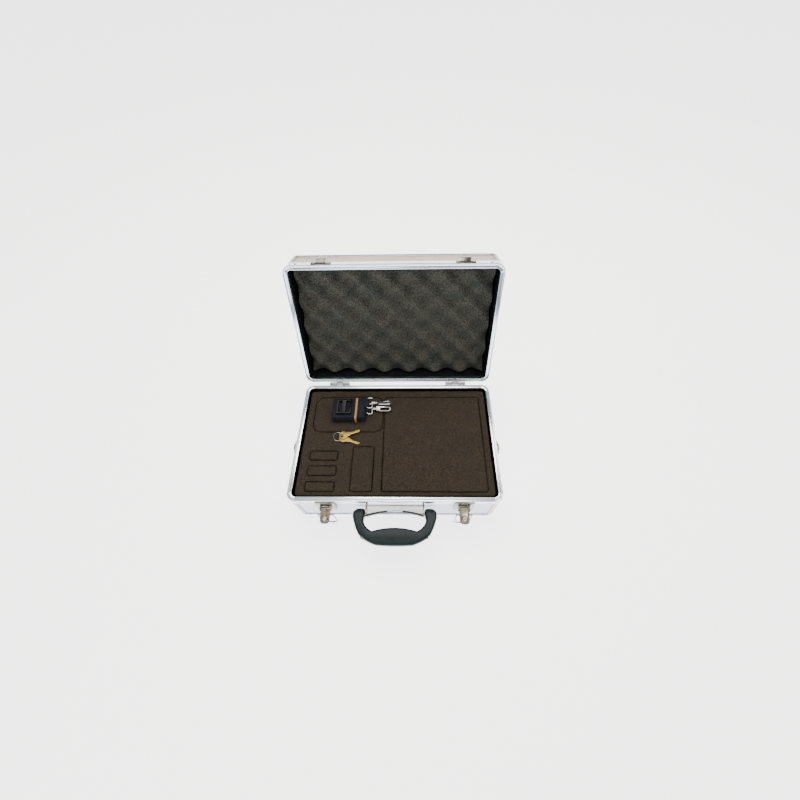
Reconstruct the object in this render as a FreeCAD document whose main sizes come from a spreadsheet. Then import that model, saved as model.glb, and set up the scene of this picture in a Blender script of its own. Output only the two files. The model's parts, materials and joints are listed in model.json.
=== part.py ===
import FreeCAD, Part
import math
import os
import Sketcher
from FreeCAD import Placement, Rotation, Vector

# An aluminium-framed carry case for a small telescope and its eyepieces.
# Millimetres, +X to the right, +Y to the back, +Z up. The origin is the centre of the underside.
# The lid is drawn shut, above the base, and then swung open about the hinge pins.

doc = FreeCAD.newDocument("telescope_carry_case")
sheet = doc.addObject("Spreadsheet::Sheet", "Sizes")
nodes = []


class Dim:
    """A length that knows its value and its formula over the sheet's cells."""

    def __init__(self, formula, value):
        self.formula = formula
        self.value = value

    def _join(self, sign, other, value, swapped=False):
        left, right = (dim(other), self) if swapped else (self, dim(other))
        return Dim(f"({left.formula} {sign} {right.formula})", value)

    def __add__(self, other):
        return self._join("+", other, self.value + number(other))

    def __radd__(self, other):
        return self._join("+", other, number(other) + self.value, True)

    def __sub__(self, other):
        return self._join("-", other, self.value - number(other))

    def __rsub__(self, other):
        return self._join("-", other, number(other) - self.value, True)

    def __mul__(self, other):
        return self._join("*", other, self.value * number(other))

    def __rmul__(self, other):
        return self._join("*", other, number(other) * self.value, True)

    def __truediv__(self, other):
        return self._join("/", other, self.value / number(other))

    def __neg__(self):
        return Dim(f"(-{self.formula})", -self.value)


def dim(x):
    return x if isinstance(x, Dim) else Dim(f"({float(x):.6g})", float(x))


def number(x):
    return x.value if isinstance(x, Dim) else float(x)


def size(name, value):
    """A named row of the sheet: a driving dimension, or one worked out from rows above it."""
    row = size.rows = getattr(size, "rows", 0) + 1
    sheet.set(f"A{row}", name)
    sheet.set(f"B{row}", "=" + dim(value).formula.replace("Sizes.", ""))
    sheet.setAlias(f"B{row}", name)
    return Dim(f"Sizes.{name}", number(value))


# ---------------------------------------------------------------- driving dimensions
# The shell
case_width = size("case_width", 330)
case_depth = size("case_depth", 212)
base_height = size("base_height", 83)
lid_height = size("lid_height", 50)
corner_radius = size("corner_radius", 14)
lid_open_angle = size("lid_open_angle", 108.7)
rim_gap = size("rim_gap", 0.4)

# Extrusions and panels
rail_wall = size("rail_wall", 1.2)
base_rim_flange = size("base_rim_flange", 17)
lid_rim_flange = size("lid_rim_flange", 15)
rim_inner_drop = size("rim_inner_drop", 8)
rim_groove = size("rim_groove", 2.4)
tongue_height = size("tongue_height", 1.5)
edge_flange = size("edge_flange", 9)
edge_web = size("edge_web", 11)
edge_rounding = size("edge_rounding", 2.2)
panel_thickness = size("panel_thickness", 3)
play = size("play", 0.2)
lining_thickness = size("lining_thickness", 1.2)
# the rim spans its two walls, the board and the lining, with a play beside each
rim_width = size("rim_width", rail_wall * 2 + play * 2 + panel_thickness + lining_thickness)

# Foam
foam_gap = size("foam_gap", 3)
foam_drop = size("foam_drop", 5)
foam_bed_thickness = size("foam_bed_thickness", 20)
foam_cut = size("foam_cut", 0.7)
foam_corner = size("foam_corner", 5)
lid_foam_recess = size("lid_foam_recess", 18)

# Hinges
hinge_spacing = size("hinge_spacing", 210)
hinge_length = size("hinge_length", 36)
hinge_setback = size("hinge_setback", 3)
knuckle_radius = size("knuckle_radius", 2.4)
hinge_pin_radius = size("hinge_pin_radius", 1.1)
leaf_thickness = size("leaf_thickness", 1.2)
running_fit = size("running_fit", 0.05)

# Latches
latch_spacing = size("latch_spacing", 214)
latch_plate_width = size("latch_plate_width", 31)
latch_plate_height = size("latch_plate_height", 36)
latch_plate_drop = size("latch_plate_drop", 5)
latch_pivot_drop = size("latch_pivot_drop", 23)
latch_pivot_reach = size("latch_pivot_reach", 4.5)
lever_width = size("lever_width", 15)
lever_length = size("lever_length", 22.5)
lever_sheet = size("lever_sheet", 1.8)
lever_barrel = size("lever_barrel", 3)
latch_pin_radius = size("latch_pin_radius", 1.5)
lever_droop = size("lever_droop", 12)
lock_radius = size("lock_radius", 3)
bail_width = size("bail_width", 24)
bail_length = size("bail_length", 44.4)
bail_wire = size("bail_wire", 1.2)
bail_offset = size("bail_offset", 9)

# Handle
handle_length = size("handle_length", 128)
handle_reach = size("handle_reach", 48)
handle_thickness = size("handle_thickness", 13)
handle_plate_width = size("handle_plate_width", 92)
handle_pivot_drop = size("handle_pivot_drop", 31)
handle_pivot_reach = size("handle_pivot_reach", 9)
handle_pin_radius = size("handle_pin_radius", 2.5)

# Strap rings, strap and keys
ring_wire = size("ring_wire", 1.25)
ring_width = size("ring_width", 20)
ring_drop = size("ring_drop", 14)
strap_bundle_height = size("strap_bundle_height", 13)
band_thickness = size("band_thickness", 1)
key_thickness = size("key_thickness", 1.2)


# ---------------------------------------------------------------- drawing helpers
def bind(item, name, value):
    """Ties a property to the sheet, or sets it where it is a plain number."""
    if isinstance(value, Dim):
        item.setExpression(name, value.formula)
    elif "." in name:
        item.setExpression(name, f"{value:.6g}")
    else:
        setattr(item, name, value)


def place(item, x, y, z):
    for axis, value in zip("xyz", (x, y, z)):
        bind(item, f"Placement.Base.{axis}", value)
    return item


def box(name, x, y, z):
    """A block between (low, high) pairs."""
    item = doc.addObject("Part::Box", name)
    for side, (low, high) in zip(("Length", "Width", "Height"), (x, y, z)):
        bind(item, side, high - low)
    return place(item, x[0], y[0], z[0])


TOWARDS = {
    "+x": Rotation(Vector(0, 1, 0), 90),
    "-x": Rotation(Vector(0, 1, 0), -90),
    "-y": Rotation(Vector(1, 0, 0), 90),
    "+y": Rotation(Vector(1, 0, 0), -90),
    "+z": Rotation(),
}


def cylinder(name, start, towards, length, radius):
    item = doc.addObject("Part::Cylinder", name)
    item.Placement = Placement(Vector(), TOWARDS[towards])
    bind(item, "Height", length)
    bind(item, "Radius", radius)
    return place(item, *start)


def cone(name, start, towards, length, low_radius, high_radius):
    item = doc.addObject("Part::Cone", name)
    item.Placement = Placement(Vector(), TOWARDS[towards])
    bind(item, "Height", length)
    bind(item, "Radius1", low_radius)
    bind(item, "Radius2", high_radius)
    return place(item, *start)


def cut(name, base, *tools):
    item = doc.addObject("Part::Cut", name)
    item.Base = base
    item.Tool = tools[0] if len(tools) == 1 else group(f"{name}_cutters", tools)
    return item


def fuse(name, *parts):
    item = doc.addObject("Part::MultiFuse", name)
    item.Shapes = list(parts)
    item.Refine = True
    return item


def group(name, parts):
    item = doc.addObject("Part::Compound", name)
    item.Links = list(parts)
    return item


def mirrored(source, axis):
    item = doc.addObject("Part::Mirroring", f"{source.Name}_across_{axis}")
    item.Source = source
    item.Normal = Vector(axis == "x", axis == "y", axis == "z")
    return item


def both_sides(name, source):
    return group(name, [source, mirrored(source, "x")])


def four_corners(name, source):
    """A corner piece and its three mirror images."""
    right = mirrored(source, "x")
    return group(name, [source, right, mirrored(source, "y"), mirrored(right, "y")])


def outline(body, plane, points):
    """A closed sketch through points on one of the body's own planes, each point tied to the sheet."""
    support = next(f for f in body.Origin.OriginFeatures if f.Role == f"{plane}_Plane")
    sketch = body.newObject("Sketcher::SketchObject", f"{body.Name}_outline")
    sketch.AttachmentSupport = (support, [""])
    sketch.MapMode = "FlatFace"
    ends = [Vector(number(x), number(y), 0) for x, y in points]
    count = len(ends)
    for i in range(count):
        sketch.addGeometry(Part.LineSegment(ends[i], ends[(i + 1) % count]), False)
    for i in range(count):
        sketch.addConstraint(Sketcher.Constraint("Coincident", i, 2, (i + 1) % count, 1))
    for i, point in enumerate(points):
        for kind, value, axis in (("DistanceX", point[0], -2), ("DistanceY", point[1], -1)):
            if number(value) == 0:
                sketch.addConstraint(Sketcher.Constraint("PointOnObject", i, 1, axis))
                continue
            at = sketch.addConstraint(Sketcher.Constraint(kind, -1, 1, i, 1, number(value)))
            if isinstance(value, Dim):
                sketch.setExpression(f"Constraints[{at}]", value.formula)
    return sketch


def extrusion(name, plane, points, low, high):
    """An outline on a plane, padded from low to high along the plane's axis."""
    body = doc.addObject("PartDesign::Body", name)
    sketch = outline(body, plane, points)
    pad = body.newObject("PartDesign::Pad", f"{name}_pad")
    pad.Profile = sketch
    bind(pad, "Length", high - low)
    body.Tip = pad
    # the XZ plane faces -Y, so its pad grows downwards from the high end
    start = {"XY": (0, 0, low), "YZ": (low, 0, 0), "XZ": (0, high, 0)}[plane]
    return place(body, *start)


def turned(name, points, centre):
    """A quarter turn, from -X round to -Y, of an outline on the XZ plane about a vertical axis."""
    body = doc.addObject("PartDesign::Body", name)
    sketch = outline(body, "XZ", points)
    turn = body.newObject("PartDesign::Revolution", f"{name}_turn")
    turn.Profile = sketch
    turn.ReferenceAxis = (sketch, ["V_Axis"])
    turn.Angle = 90
    body.Tip = turn
    return place(body, centre[0], centre[1], 0)


def rounded(body, radius, chosen):
    """A fillet on the edges of the body's last feature that the test chooses."""
    doc.recompute()
    base = body.Tip
    edges = [f"Edge{i + 1}" for i, edge in enumerate(base.Shape.Edges) if chosen(edge)]
    fillet = body.newObject("PartDesign::Fillet", f"{body.Name}_rounding_{len(body.Group)}")
    fillet.Base = (base, edges)
    bind(fillet, "Radius", radius)
    body.Tip = fillet
    return body


def upright(edge):
    ends = [vertex.Point for vertex in edge.Vertexes]
    if len(ends) != 2:
        return False
    along = ends[0] - ends[1]
    return abs(along.z) > 1e-6 and along.cross(Vector(0, 0, 1)).Length < 1e-6


def rounded_block(name, x, y, z, radius):
    """A block with rounded upright edges."""
    points = [(x[0], y[0]), (x[1], y[0]), (x[1], y[1]), (x[0], y[1])]
    return rounded(extrusion(name, "XY", points, *z), radius, upright)


def feature(name, shape):
    item = doc.addObject("Part::Feature", name)
    item.Shape = shape
    return item


def bent_wire(name, corners, radii, wire, closed=False):
    """A round wire along straight runs joined by tangent arcs."""
    points = [Vector(*(number(value) for value in corner)) for corner in corners]
    count = len(points)
    bends = {}
    for i in range(count) if closed else range(1, count - 1):
        before = (points[i - 1] - points[i]).normalize()
        after = (points[(i + 1) % count] - points[i]).normalize()
        half = before.getAngle(after) / 2
        radius = number(radii[i] if isinstance(radii, (list, tuple)) else radii)
        reach = radius / math.tan(half)
        centre = points[i] + (before + after).normalize() * (radius / math.sin(half))
        middle = centre + (points[i] - centre).normalize() * radius
        bends[i] = (points[i] + before * reach, middle, points[i] + after * reach)
    edges = []
    last = count if closed else count - 1
    for i in range(last):
        if i in bends:
            edges.append(Part.Arc(*bends[i]).toShape())
        nxt = (i + 1) % count
        start = bends[i][2] if i in bends else points[i]
        stop = bends[nxt][0] if nxt in bends else points[nxt]
        if (stop - start).Length > 1e-6:
            edges.append(Part.LineSegment(start, stop).toShape())
    path = Part.Wire(edges)
    first = edges[0]
    at = first.valueAt(first.FirstParameter)
    along = first.tangentAt(first.FirstParameter)
    ring = Part.Wire([Part.Circle(at, along, number(wire)).toShape()])
    return feature(name, path.makePipeShell([ring], True, False))


def keep(name, item, placement=None):
    """Makes an object a node of the model: its label is the node's and the file's name."""
    if placement is not None:
        item = group(f"{name}_placed", [item])
        item.Placement = placement
    item.Label = name
    nodes.append(item)
    return item


# ---------------------------------------------------------------- places that pieces share
half_width = case_width / 2
half_depth = case_depth / 2
front = -half_depth
corner_centre = (-half_width + corner_radius, front + corner_radius)
lid_rim = base_height + rim_gap
panel_out = rail_wall + play
panel_in = panel_out + panel_thickness
lining_out = panel_in + play / 2
floor_top = rail_wall + panel_thickness
hinge_y = half_depth + hinge_setback
hinge_z = base_height + rim_gap / 2
HINGE = Vector(0, hinge_y.value, hinge_z.value)
OPEN = Placement(Vector(), Rotation(Vector(1, 0, 0), -lid_open_angle.value), HINGE)


class Shell:
    """One half of the case. Heights are measured from its rim inwards, or from its closed side."""

    def __init__(self, name, height, rim, flange, sign, placement):
        self.name, self.height, self.rim = name, height, rim
        self.flange, self.sign, self.placement = flange, sign, placement
        # the lid's rim is a groove that the base's tongue enters
        self.web_top = rim_groove if sign > 0 else dim(0)

    def from_rim(self, v):
        return self.rim + v * self.sign

    def from_closed(self, w):
        return self.from_rim(self.height - w)

    def span(self, first, second):
        return tuple(sorted((first, second), key=number))

    def keep(self, name, item):
        return keep(f"{self.name}_{name}", item, self.placement)

    def frame(self, name, points):
        """The four straight rails and the four rounded corners that share one section."""
        n = self.name
        front_rail = extrusion(
            f"{n}_{name}_front", "YZ", [(front + u, z) for u, z in points],
            -half_width + corner_radius, half_width - corner_radius,
        )
        left_rail = extrusion(
            f"{n}_{name}_left", "XZ", [(-half_width + u, z) for u, z in points],
            front + corner_radius, half_depth - corner_radius,
        )
        turn = turned(f"{n}_{name}_turn", [(u - corner_radius, z) for u, z in points], corner_centre)
        return front_rail, left_rail, turn

    def outer_edge(self, at):
        """Chooses the long outside edge of a rail at one height."""
        def chosen(edge):
            bounds = edge.BoundBox
            level = abs(bounds.ZMin - at.value) < 1e-4 and abs(bounds.ZMax - at.value) < 1e-4
            spread = max(bounds.XLength, bounds.YLength)
            outside = (
                abs(bounds.YMin - front.value) < 1e-4 and bounds.YLength < 1e-4
                or abs(bounds.XMin + half_width.value) < 1e-4 and bounds.XLength < 1e-4
                or abs(bounds.XMin + corner_radius.value) < 1e-4 and bounds.YLength > 1
            )
            return level and outside and spread > 5
        return chosen

    def build_frame(self):
        rim_outside = [(dim(0), self.from_rim(self.flange)), (dim(0), self.from_rim(0))]
        if self.sign < 0:
            tongue = (rim_width - rail_wall) / 2
            mouth = [
                (tongue, self.from_rim(0)), (tongue, self.from_rim(-tongue_height)),
                (tongue + rail_wall, self.from_rim(-tongue_height)), (tongue + rail_wall, self.from_rim(0)),
            ]
        else:
            mouth = [
                (rail_wall, self.from_rim(0)), (rail_wall, self.from_rim(rim_groove)),
                (rim_width - rail_wall, self.from_rim(rim_groove)), (rim_width - rail_wall, self.from_rim(0)),
            ]
        under = self.web_top + rail_wall
        rim_inside = [
            (rim_width, self.from_rim(0)), (rim_width, self.from_rim(rim_inner_drop)),
            (rim_width - rail_wall, self.from_rim(rim_inner_drop)),
            (rim_width - rail_wall, self.from_rim(under)),
            (rail_wall, self.from_rim(under)), (rail_wall, self.from_rim(self.flange)),
        ]
        rails = self.frame("rim", rim_outside + mouth + rim_inside)
        front_rail, left_rail, turn = [
            rounded(rail, rail_wall * 0.75, self.outer_edge(self.from_rim(0))) for rail in rails
        ]
        straight = [front_rail, mirrored(front_rail, "y"), left_rail, mirrored(left_rail, "x")]
        self.keep("rim_rails", group(f"{self.name}_rim_straight", straight))
        self.keep("rim_corners", four_corners(f"{self.name}_rim_turns", turn))

        edge = [
            (dim(0), self.from_closed(0)), (edge_web, self.from_closed(0)),
            (edge_web, self.from_closed(rail_wall)), (rail_wall, self.from_closed(rail_wall)),
            (rail_wall, self.from_closed(edge_flange)), (dim(0), self.from_closed(edge_flange)),
        ]
        rails = self.frame("edge", edge)
        front_rail, left_rail, turn = [
            rounded(rail, edge_rounding, self.outer_edge(self.from_closed(0))) for rail in rails
        ]
        straight = [front_rail, mirrored(front_rail, "y"), left_rail, mirrored(left_rail, "x")]
        self.keep("edge_rails", group(f"{self.name}_edge_straight", straight))
        self.keep("edge_corners", four_corners(f"{self.name}_edge_turns", turn))

    def build_posts(self):
        """Rounded corner posts that take the panels' ends in two slots."""
        n = self.name
        low, high = self.span(self.from_rim(self.flange), self.from_closed(edge_flange))
        at = (corner_centre[0], corner_centre[1], low)
        outer = cylinder(f"{n}_post_outer", at, "+z", high - low, corner_radius)
        inner = cylinder(f"{n}_post_inner", at, "+z", high - low, corner_radius - lining_out)
        for part in (outer, inner):
            part.Angle = 90
            part.Placement.Rotation = Rotation(Vector(0, 0, 1), 180)
        slot = panel_overlap + play / 2
        slots = [
            box(f"{n}_post_slot_front", (corner_centre[0] - slot, corner_centre[0] + slot),
                (front + panel_out - play / 2, front + panel_in + play), (low, high)),
            box(f"{n}_post_slot_side", (-half_width + panel_out - play / 2, -half_width + panel_in + play),
                (corner_centre[1] - slot, corner_centre[1] + slot), (low, high)),
        ]
        post = cut(f"{n}_post", outer, inner, *slots)
        self.keep("corner_posts", four_corners(f"{n}_posts", post))

    def build_panels(self):
        n = self.name
        upright_span = self.span(
            self.from_rim(self.web_top + rail_wall + play), self.from_closed(rail_wall + play)
        )
        reach_x = half_width - corner_radius + panel_overlap
        reach_y = half_depth - corner_radius + panel_overlap
        face = (front + panel_out, front + panel_in)
        front_panel = box(f"{n}_front_board", (-reach_x, reach_x), face, upright_span)
        back_panel = box(f"{n}_back_board", (-reach_x, reach_x), (-face[1], -face[0]), upright_span)
        side = (-half_width + panel_out, -half_width + panel_in)
        side_panel = box(f"{n}_side_board", side, (-reach_y, reach_y), upright_span)
        self.keep("front_panel", front_panel)
        self.keep("back_panel", back_panel)
        self.keep("side_panels", both_sides(f"{n}_side_boards", side_panel))
        # the flat board lies inside the upright ones, and its pressed middle is flush with the rails
        edge_x, edge_y = half_width - panel_in - play / 2, half_depth - panel_in - play / 2
        radius = corner_radius - panel_in - play
        board = rounded_block(
            f"{n}_flat_board", (-edge_x, edge_x), (-edge_y, edge_y),
            self.span(self.from_closed(rail_wall + play / 2), self.from_closed(floor_top)), radius,
        )
        middle_x, middle_y = half_width - edge_web - play, half_depth - edge_web - play
        middle = rounded_block(
            f"{n}_flat_middle", (-middle_x, middle_x), (-middle_y, middle_y),
            self.span(self.from_closed(0), self.from_closed(floor_top)),
            corner_radius - edge_web - play,
        )
        name = "bottom_panel" if self.sign < 0 else "top_panel"
        self.keep(name, fuse(f"{n}_flat_panel", board, middle))

    def build_lining(self):
        n = self.name
        x, y = half_width - lining_out, half_depth - lining_out
        radius = corner_radius - lining_out
        top = self.from_rim(self.web_top + rail_wall + play)
        floor = self.from_closed(floor_top + play / 2)
        inside = self.from_closed(floor_top + play / 2 + lining_thickness)
        outer = rounded_block(f"{n}_lining_outer", (-x, x), (-y, y), self.span(top, floor), radius)
        t = lining_thickness
        inner = rounded_block(
            f"{n}_lining_inner", (-x + t, x - t), (-y + t, y - t),
            self.span(self.from_rim(-1), inside), radius - t,
        )
        self.keep("lining", cut(f"{n}_lining_tray", outer, inner))


panel_overlap = size("panel_overlap", 1.9)
base = Shell("base", base_height, base_height, base_rim_flange, -1, None)
lid = Shell("lid", lid_height, lid_rim, lid_rim_flange, 1, OPEN)
for shell in (base, lid):
    shell.build_frame()
    shell.build_posts()
    shell.build_panels()
    shell.build_lining()


# ---------------------------------------------------------------- rivets
rivet_radius = size("rivet_radius", 2.1)
rivet_height = size("rivet_height", 0.8)
rivet_inset = size("rivet_inset", 6)


def rivet(name, at, towards):
    return cone(name, at, towards, rivet_height, rivet_radius, rivet_radius * 0.6)


for shell in (base, lid):
    x = -half_width + corner_radius + rivet_inset
    y = front + corner_radius + rivet_inset
    heads = []
    for place_name, z in (
        ("rim", shell.from_rim(shell.flange * 0.45)),
        ("edge", shell.from_closed(edge_flange * 0.6)),
    ):
        heads.append(rivet(f"{shell.name}_{place_name}_front_rivet", (x, front, z), "-y"))
        heads.append(rivet(f"{shell.name}_{place_name}_side_rivet", (-half_width, y, z), "-x"))
    corner_set = group(f"{shell.name}_corner_rivets", heads)
    shell.keep("rivets", four_corners(f"{shell.name}_rivet_heads", corner_set))


# ---------------------------------------------------------------- foam
foam_x = half_width - rim_width - foam_gap
foam_y = half_depth - rim_width - foam_gap
foam_floor = floor_top + play / 2 + lining_thickness
bed_top = foam_floor + foam_bed_thickness
foam_top = base_height - foam_drop

foam_outline = ((-foam_x, foam_x), (-foam_y, foam_y))
bed = rounded_block("foam_bed_block", *foam_outline, (foam_floor, bed_top), foam_corner)
keep("base_foam_bed", bed)

# The pick-out shapes, by name: x and y from, to, and corner radius
telescope_left = size("telescope_left", -20.5)
telescope_right = size("telescope_right", 144)
telescope_front = size("telescope_front", -89)
telescope_back = size("telescope_back", 82)
accessory_left = size("accessory_left", -143)
accessory_right = size("accessory_right", -24)
accessory_front = size("accessory_front", 14)
slot_left = size("slot_left", -140)
slot_right = size("slot_right", -95)
slot_front = size("slot_front", -89)
slot_width = size("slot_width", 15)
slot_pitch = size("slot_pitch", 26)
column_left = size("column_left", -70)
column_right = size("column_right", -36)
column_back = size("column_back", -14)

shapes = {
    "telescope": ((telescope_left, telescope_right), (telescope_front, telescope_back), 4),
    "accessory": ((accessory_left, accessory_right), (accessory_front, telescope_back), 14),
    "column": ((column_left, column_right), (telescope_front, column_back), 3),
}
for i in range(3):
    low = slot_front + slot_pitch * i
    shapes[f"slot_{i + 1}"] = ((slot_left, slot_right), (low, low + slot_width), 2)

plugs = {}
pockets = []
for name, (x, y, radius) in shapes.items():
    plugs[name] = rounded_block(f"{name}_plug", x, y, (bed_top, foam_top), radius)
    g = foam_cut
    pockets.append(rounded_block(
        f"{name}_pocket", (x[0] - g, x[1] + g), (y[0] - g, y[1] + g), (bed_top - 1, foam_top + 1), radius + g,
    ))
insert = rounded_block("foam_insert_block", *foam_outline, (bed_top, foam_top), foam_corner)
keep("base_foam_insert", cut("foam_insert_cut", insert, *pockets))
keep("foam_plug_telescope", plugs["telescope"])
keep("foam_plug_accessory", plugs["accessory"])
keep("foam_plugs_small", group("small_plugs", [plugs["column"]] + [plugs[f"slot_{i + 1}"] for i in range(3)]))

lid_inside = lid.from_closed(floor_top + play / 2 + lining_thickness)
lid_foam = rounded_block(
    "lid_foam_block", *foam_outline, (lid.from_rim(lid_foam_recess), lid_inside), foam_corner,
)
lid.keep("foam", lid_foam)


# ---------------------------------------------------------------- hinges
def hinge_leaf(name, z_plate, tabs, z_tab, bore):
    """A leaf on the back of the case with the knuckles that it carries."""
    start = hinge_spacing / 2 - hinge_length / 2
    against_wall = (half_depth, half_depth + leaf_thickness)
    parts = [box(f"{name}_sheet", (start, start + hinge_length), against_wall, z_plate)]
    for i, (low, high) in enumerate(tabs):
        span = (start + low, start + high)
        parts.append(box(f"{name}_tab_{i}", span, (half_depth, hinge_y), z_tab))
        parts.append(cylinder(
            f"{name}_knuckle_{i}", (span[0], hinge_y, hinge_z), "+x", span[1] - span[0], knuckle_radius,
        ))
    through = cylinder(f"{name}_bore", (start - 1, hinge_y, hinge_z), "+x", hinge_length + 2, bore)
    return both_sides(f"{name}s", cut(name, fuse(f"{name}_blank", *parts), through))


third = hinge_length / 3
base_leaf = hinge_leaf(
    "base_leaf", (base_height - base_rim_flange + 2, base_height - 2),
    [(0, third), (third * 2, hinge_length)],
    (hinge_z - knuckle_radius - 1.5, hinge_z - play), hinge_pin_radius,
)
keep("hinge_leaves_base", base_leaf)
lid_leaf = hinge_leaf(
    "lid_leaf", (hinge_z + knuckle_radius + play * 2, lid_rim + lid_rim_flange - 1),
    [(third + play, third * 2 - play)],
    (hinge_z + play, hinge_z + knuckle_radius + play * 3), hinge_pin_radius + running_fit,
)
keep("hinge_leaves_lid", lid_leaf, OPEN)
hinge_pin = cylinder(
    "hinge_pin", (hinge_spacing / 2 - hinge_length / 2, hinge_y, hinge_z), "+x",
    hinge_length, hinge_pin_radius,
)
keep("hinge_pins", both_sides("hinge_pin_pair", hinge_pin))


# ---------------------------------------------------------------- latches
latch_x = latch_spacing / 2
latch_z = base_height - latch_pivot_drop
latch_y = front - latch_pivot_reach
ear_gap = lever_width / 2 + play * 1.5
ear_sheet = size("ear_sheet", 1.5)
ear_radius = size("ear_radius", 4.5)


def latch_plate(side):
    """The plate on the base with its slot and the two ears that carry the lever's pin."""
    n = f"latch_plate_{side}"
    x = latch_x if side == "right" else -latch_x
    top = base_height - latch_plate_drop
    half = latch_plate_width / 2
    sheet_metal = rounded(
        extrusion(
            f"{n}_sheet", "XZ",
            [
                (x - half, top - latch_plate_height), (x + half, top - latch_plate_height),
                (x + half, top), (x - half, top),
            ],
            front - leaf_thickness, front,
        ),
        2.5,
        lambda edge: edge.BoundBox.YLength > 1 and edge.BoundBox.XLength < 0.1 and edge.BoundBox.ZLength < 0.1,
    )
    slot = box(f"{n}_slot", (x - 5, x + 5), (front - 5, front + 1), (top - 4.5, top - 1.5))
    parts = [cut(f"{n}_slotted", sheet_metal, slot)]
    for i, low in enumerate((x + ear_gap, x - ear_gap - ear_sheet)):
        span = (low, low + ear_sheet)
        parts.append(box(
            f"{n}_ear_{i}", span, (latch_y, front - leaf_thickness / 2),
            (latch_z - ear_radius, latch_z + ear_radius),
        ))
        parts.append(cylinder(f"{n}_ear_round_{i}", (low, latch_y, latch_z), "+x", ear_sheet, ear_radius))
    bore = cylinder(f"{n}_bore", (x - half, latch_y, latch_z), "+x", latch_plate_width, latch_pin_radius)
    keep(n, cut(f"{n}_bored", fuse(f"{n}_blank", *parts), bore))


def latch_lever(side):
    """The lever, drawn pointing straight out with its outer face up, then lowered to its droop."""
    n = f"latch_lever_{side}"
    half = lever_width / 2
    tongue = rounded(
        extrusion(
            f"{n}_sheet", "XY", [(-half, -lever_length), (half, -lever_length), (half, 0), (-half, 0)],
            lever_barrel - lever_sheet, lever_barrel,
        ),
        5.5,
        lambda edge: upright(edge) and edge.BoundBox.YMax < -1,
    )
    parts = [
        tongue,
        cylinder(f"{n}_barrel", (-half, 0, 0), "+x", lever_width, lever_barrel),
        cylinder(f"{n}_sleeve", (-half, -bail_offset, bail_height), "+x", lever_width, bail_wire + 1),
        cone(f"{n}_boss", (0, -lock_offset, lever_barrel), "+z", 1.2, lock_radius + 2.2, lock_radius + 1.4),
    ]
    holes = [
        cylinder(f"{n}_pin_bore", (-half - 1, 0, 0), "+x", lever_width + 2, latch_pin_radius + running_fit),
        cylinder(f"{n}_lock_bore", (0, -lock_offset, -5), "+z", 15, lock_radius + running_fit),
    ]
    for i, towards in enumerate(("+x", "-x")):
        start = (half + 1 if towards == "-x" else -half - 1, -bail_offset, bail_height)
        holes.append(cylinder(f"{n}_bail_bore_{i}", start, towards, bail_grip + 1, bail_wire + running_fit))
    keep(n, cut(f"{n}_bored", fuse(f"{n}_blank", *parts), *holes), lever_place(side))
    plug = cylinder(
        f"lock_plug_{side}", (0, -lock_offset, lever_barrel - lever_sheet), "+z",
        lever_sheet + 1.6, lock_radius,
    )
    keyway = box(
        f"keyway_{side}", (-0.45, 0.45), (-lock_offset - 2, -lock_offset + 2),
        (lever_barrel + 0.4, lever_barrel + 3),
    )
    keep(f"lock_cylinder_{side}", cut(f"lock_body_{side}", plug, keyway), lever_place(side))


def lever_place(side):
    x = latch_x.value if side == "right" else -latch_x.value
    turn = Rotation(Vector(1, 0, 0), lever_droop.value)
    return Placement(Vector(x, latch_y.value, latch_z.value), turn)


def latch_bail(side):
    """The wire bail, hanging straight down from the lever. Lifted, it reaches over the lid's catch."""
    n = f"latch_bail_{side}"
    half = bail_width / 2
    grip = lever_width / 2 - bail_grip + play
    corners = [
        (-grip, 0, 0), (-half, 0, 0), (-half, -bail_length, 0),
        (half, -bail_length, 0), (half, 0, 0), (grip, 0, 0),
    ]
    wire = bent_wire(f"{n}_wire", corners, [0, 2, 7.5, 7.5, 2, 0], bail_wire)
    hang = Rotation(Vector(1, 0, 0), 90 - lever_droop.value)
    local = Placement(Vector(0, -bail_offset.value, bail_height.value), hang)
    keep(n, wire, lever_place(side) * local)


lock_offset = size("lock_offset", 15)
bail_height = size("bail_height", -0.6)
bail_grip = size("bail_grip", 3.5)
for side in ("left", "right"):
    latch_plate(side)
    latch_lever(side)
    latch_bail(side)
pin_length = (ear_gap + ear_sheet) * 2
latch_pin = cylinder(
    "latch_pin", (latch_x - pin_length / 2, latch_y, latch_z), "+x", pin_length, latch_pin_radius,
)
keep("latch_pins", both_sides("latch_pin_pair", latch_pin))

# The catches on the lid, each with an upturned lip for the bail
catch_height = size("catch_height", 20)
catch_width = size("catch_width", 16)
lip_rise = size("lip_rise", 9)
lip_depth = size("lip_depth", 5)
lip_sheet = size("lip_sheet", 1.6)
x = latch_x
face = (front - leaf_thickness, front)
lip_z = lid_rim + lip_rise
catch = fuse(
    "catch_blank",
    box("catch_wings", (x - 14.5, x + 14.5), face, (lid_rim + 4, lid_rim + 13)),
    box(
        "catch_tower", (x - catch_width / 2, x + catch_width / 2), face,
        (lid_rim + 1.5, lid_rim + catch_height),
    ),
    box("catch_ledge", (x - 7, x + 7), (face[0] - lip_depth, face[0]), (lip_z, lip_z + lip_sheet)),
    box(
        "catch_lip", (x - 7, x + 7), (face[0] - lip_depth, face[0] - lip_depth + lip_sheet),
        (lip_z, lip_z + 5),
    ),
    *[
        rivet(f"catch_rivet_{i}", (x + dx, face[0], lid_rim + 8.5), "-y")
        for i, dx in enumerate((-11.5, 11.5))
    ],
)
keep("lid_catches", both_sides("catch_pair", catch), OPEN)


# ---------------------------------------------------------------- handle
pivot_z = base_height - handle_pivot_drop
pivot_y = front - handle_pivot_reach
plate_half = handle_plate_width / 2
panel_face = front + panel_out
handle_sheet = size("handle_sheet", 1.2)
handle_ear = size("handle_ear", 2.5)
handle_side_gap = size("handle_side_gap", 0.6)

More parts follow.
